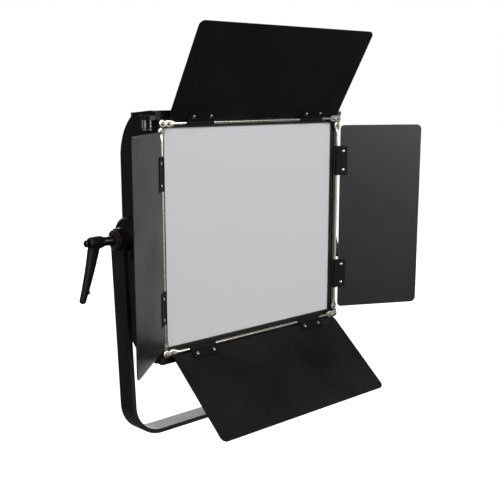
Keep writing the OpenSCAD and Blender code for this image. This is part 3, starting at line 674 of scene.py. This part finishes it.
def makeDisc(side, sign):
    low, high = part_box(side + "_pivot_disc")
    radius = (high.z - low.z) / 2 / mm
    start, end = [v / mm for v in sorted((abs(low.x), abs(high.x)))]
    bore, half = discShape["bore"], discShape["wide"] / 2
    flare, taper = discShape["flare"], discShape["taper"]
    chamferX, chamferRadius = discShape["chamfer"]
    outline = [(start, bore), (start, radius - chamferRadius), (start + chamferX, radius)]
    outline += [(end - x, radius - under) for x, under in discShape["rim"]]
    face = end - discShape["sunk"]
    floor = face - discShape["deep"]
    for groove in discShape["grooves"]:
        outline += [(face, groove + half + flare), (floor, groove + half - taper),
                    (floor, groove - half + taper), (face, groove - half - flare)]
    outline += [(end - x, edge) for x, edge in discShape["boss"]] + [(end, bore)]
    disc = latheX(side + "Disc", outline, discShape["steps"])
    placeIn(disc, tiltSpace(sign, (0, 0, 1)) @ toMetres)
    pointOut(disc)
    smooth(disc, 30)
    finishPiece(disc, side + "PivotDisc", "head", "cast_black", [side + "_pivot_disc"])


for side, sign in bothSides:
    makeDisc(side, sign)
print("pivot discs ready")

# ---- cross-head screws on the rods, rivets on the brackets ----
# foot: height of the dark ring's foot over the rod's axis; headLift: how far the screw's head starts over it. The
# dark ring under each head is painted shade, standing in for the shadow of a recess round the screw head
screwShape = {
    "ring": 2.7, "ringHigh": 0.7, "head": 1.75, "high": 1.5, "slot": (2.2, 0.5, 0.9), "foot": 0.75,
    "headLift": 0.4, "twist": 23,
}
domeSteps = {"up": 7, "round": 28}
rodScrewsAt = {"top": (159.5, 150), "bottom": (159.5, 150), "left": (139.5,), "right": (139.5,)}
rivetShape = {"radius": 2.4, "high": 1.2, "out": 10.0, "pitch": 28.0, "face": 1.6, "top": 101.0, "side": 87.0}


def dome(name, radius, high):
    # a rounded head standing on z = 0
    outline = [(0, onAxis), (0, radius * 0.93), (high * 0.16, radius)]
    for i in range(1, domeSteps["up"] + 1):
        a = math.radians(90) * i / domeSteps["up"]
        outline.append((high * (0.2 + 0.8 * math.sin(a)), max(radius * math.cos(a), onAxis)))
    piece = latheX(name, outline, domeSteps["round"])
    placeIn(piece, Matrix.Rotation(math.radians(-90), 4, "Y"))
    return piece


def crossHead(name):
    head = dome(name, screwShape["head"], screwShape["high"])
    for turn in (45, 135):
        deselectAll()
        bpy.ops.mesh.primitive_cube_add(size=1, location=(0, 0, screwShape["high"]),
                                        rotation=(0, 0, math.radians(turn)), scale=screwShape["slot"])
        bar = bpy.context.object
        bpy.ops.object.transform_apply(location=True, rotation=True, scale=True)
        combine(head, bar, "DIFFERENCE")
    return head


def copyInto(model, space):
    makeActive(model)
    bpy.ops.object.duplicate()
    piece = bpy.context.object
    placeIn(piece, space)
    return piece


def joinPieces(pieces):
    makeActive(pieces[0])
    for piece in pieces[1:]:
        piece.select_set(True)
    bpy.ops.object.join()
    joined = bpy.context.object
    pointOut(joined)
    smooth(joined, 40)
    return joined


def rodFrame(side):
    # middle of a rod and the direction along it
    joint = joints[side + "_door_fold"]
    return Vector(joint["pos_m"]), Vector(joint["axis"])


def makeScrews(model, lift, name, slotName, replaced):
    made = []
    for side, places in rodScrewsAt.items():
        middle, along = rodFrame(side)
        for sign in (-1, 1):
            for i, place in enumerate(places):
                centre = middle + along * sign * place * mm + headFront * (screwShape["foot"] + lift) * mm
                turned = Matrix.Rotation(math.radians(screwShape["twist"] * (i + 1) * sign), 4, "Z")
                made.append(copyInto(model, spaceOf(centre, along, headFront) @ turned @ toMetres))
    bpy.data.objects.remove(model)
    finishPiece(joinPieces(made), name, "head", slotName, replaced)


def leafFrame(side):
    # middle of the rod, along it, out along the door and the door's inner normal
    middle, along = rodFrame(side)
    low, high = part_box(side + "_leaf")
    leaf = frame["nodes"][side + "_leaf"]
    widest = max(leaf.data.polygons, key=lambda polygon: polygon.area)
    normal = (leaf.matrix_world.to_3x3() @ widest.normal).normalized()
    out = normal.cross(along).normalized()
    if out.dot((low + high) / 2 - middle) < 0:
        out = -out
    return middle, along, out, normal


def makeRivets(side):
    model = dome("rivetHead", rivetShape["radius"], rivetShape["high"])
    middle, along, out, normal = leafFrame(side)
    reach = rivetShape["top"] if side in ("top", "bottom") else rivetShape["side"]
    made = []
    for end in (-1, 1):
        for step in (-0.5, 0.5):
            place = middle + along * (end * reach + step * rivetShape["pitch"]) * mm
            place = place + out * rivetShape["out"] * mm
            for face in (-1, 1):
                centre = place + normal * face * rivetShape["face"] * mm
                made.append(copyInto(model, spaceOf(centre, along, normal * face) @ toMetres))
    bpy.data.objects.remove(model)
    finishPiece(joinPieces(made), side + "Rivets", side + "_door", "zinc_screw", [side + "_rivets"])


# a dark ring under each screw head: painted shade in place of the shadow in a recess round the head
shadeWasher = dome("ring", screwShape["ring"], screwShape["ringHigh"])
makeScrews(shadeWasher, 0, "rodShadeWashers", "black_screw", ["rod_screws"])
makeScrews(crossHead("crossHead"), screwShape["headLift"], "rodScrews", "zinc_screw", [])
for side in ("top", "bottom", "left", "right"):
    makeRivets(side)
print("screws and rivets ready")

# ---- accessory clips: thin bright pin on a flange, wide post on a small foot ----
# side, top and the two backs are places on the head; pin and post: distance down from there and radius
clipShape = {
    "side": 169.2, "top": 157.0, "pinBack": 10.4, "postBack": 22.4, "steps": 36,
    "pin": [(0, onAxis), (0, 1.35), (13.4, 1.35), (13.8, 2.2), (14.5, 3.1), (15.3, 3.1), (15.8, 2.4),
            (16.0, onAxis)],
    "post": [(0, onAxis), (0, 3.6), (12.6, 3.6), (13.0, 3.2), (13.0, 1.8), (13.6, 1.8), (13.8, 2.8),
             (16.0, 2.8), (16.6, 2.2), (16.8, onAxis)],
}
# where the top rod's axis is on the head: back from its front, and up from its middle
topRodAt = {"back": -2, "up": 150}


def headPoint(x, back, up):
    middle = Vector(joints["top_door_fold"]["pos_m"])
    backBy, upBy = back - topRodAt["back"], up - topRodAt["up"]
    return middle + Vector((x, 0, 0)) * mm - headFront * backBy * mm + headUp * upBy * mm


def makeClipParts(kind, back, name, slotName, replaced):
    made = []
    for sign in (-1, 1):
        part = latheX(kind, clipShape[kind], clipShape["steps"])
        place = headPoint(sign * clipShape["side"], clipShape[back], clipShape["top"])
        placeIn(part, spaceOf(place, -headUp, (1, 0, 0)) @ toMetres)
        made.append(part)
    finishPiece(joinPieces(made), name, "head", slotName, replaced)


makeClipParts("pin", "pinBack", "clipPins", "bright_rod", ["clip_pins"])
makeClipParts("post", "postBack", "clipPosts", "steel", [])
print("clip pins ready")

# ---- floor, light ----
stage = {"side": 30.0, "gap": 0.0005, "floor": (0.8, 0.8, 0.8), "rough": 0.9, "glow": 0.96}


def makeStage():
    deselectAll()
    bpy.ops.mesh.primitive_plane_add(size=stage["side"], location=(0, 0, min(cadBox[0].z, 0) - stage["gap"]))
    floor = bpy.context.object
    floor.name = "floor"
    material = bpy.data.materials.new("paleFloor")
    material.use_nodes = True
    shader = material.node_tree.nodes["Principled BSDF"]
    shader.inputs["Base Color"].default_value = (*stage["floor"], 1)
    shader.inputs["Roughness"].default_value = stage["rough"]
    shader.inputs["Specular IOR Level"].default_value = 0.0
    shader.inputs["Emission Color"].default_value = (1, 1, 1, 1)
    shader.inputs["Emission Strength"].default_value = stage["glow"]
    floor.data.materials.append(material)
    floor.visible_glossy = False
    floor.visible_diffuse = False


# place, size and power of each, all of them turned to one point
softboxes = {
    "keyBox": ((0.7, -2.7, 1.1), (1.5, 1.2), 52),
    "rimBox": ((-1.0, -2.4, 1.6), (0.5, 0.5), 6),
    "topBox": ((-0.8, -0.5, 2.3), (0.7, 0.7), 6),
    "highBox": ((2.3, 0.2, 1.9), (0.9, 0.9), 4),
    "backBox": ((0.8, 2.6, 1.5), (1.2, 1.0), 22),
}
lightAim = (0, 0, 0.3)


def addSoftbox(name, place, size, power):
    bpy.ops.object.light_add(type="AREA", location=place)
    light = bpy.context.object
    light.name = name
    light.data.shape = "RECTANGLE"
    light.data.size, light.data.size_y = size
    light.data.energy = power
    light.rotation_euler = (Vector(lightAim) - Vector(place)).to_track_quat("-Z", "Y").to_euler()


# strengths, and the directions over which each part of the backdrop fades
studio = {
    "dim": 0.012, "front": 0.62, "back": 2.5, "shown": 1.0, "band": (0.22, 0.6), "dark": (-0.35, 0.2),
    "frontFade": (-0.75, -0.2), "backFade": (-0.1, 0.5),
}


def makeLight():
    # a white backdrop behind and to the right, a softer front, dark at the left, above and below
    world = bpy.data.worlds.new("studio")
    bpy.context.scene.world = world
    world.use_nodes = True
    tree = world.node_tree
    sky = tree.nodes["Background"]
    around = tree.nodes.new("ShaderNodeTexCoord")
    split = tree.nodes.new("ShaderNodeSeparateXYZ")
    tree.links.new(around.outputs["Generated"], split.inputs[0])
    height = addMath(tree, "ABSOLUTE", split.outputs["Z"], 0.0)
    band = addRange(tree, height, *studio["band"], 1.0, 0.0)
    ahead = addRange(tree, split.outputs["Y"], *studio["frontFade"], studio["front"], 0.0)
    behind = addRange(tree, split.outputs["Y"], *studio["backFade"], 0.0, studio["back"])
    right = addRange(tree, split.outputs["X"], *studio["dark"], 0.0, 1.0)
    wall = addMath(tree, "ADD", ahead, addMath(tree, "MULTIPLY", behind, right))
    power = addMath(tree, "ADD", addMath(tree, "MULTIPLY", band, wall), studio["dim"])
    tree.links.new(power, sky.inputs["Strength"])
    sky.inputs["Color"].default_value = (1, 1, 1, 1)
    shown = tree.nodes.new("ShaderNodeBackground")
    shown.inputs["Color"].default_value = (1, 1, 1, 1)
    shown.inputs["Strength"].default_value = studio["shown"]
    path = tree.nodes.new("ShaderNodeLightPath")
    mix = tree.nodes.new("ShaderNodeMixShader")
    tree.links.new(path.outputs["Is Camera Ray"], mix.inputs["Fac"])
    tree.links.new(sky.outputs["Background"], mix.inputs[1])
    tree.links.new(shown.outputs["Background"], mix.inputs[2])
    tree.links.new(mix.outputs["Shader"], tree.nodes["World Output"].inputs["Surface"])
    for name, (place, size, power) in softboxes.items():
        addSoftbox(name, place, size, power)


makeStage()
makeLight()
bpy.context.scene.view_settings.view_transform = "Standard"
print("stage and light ready")
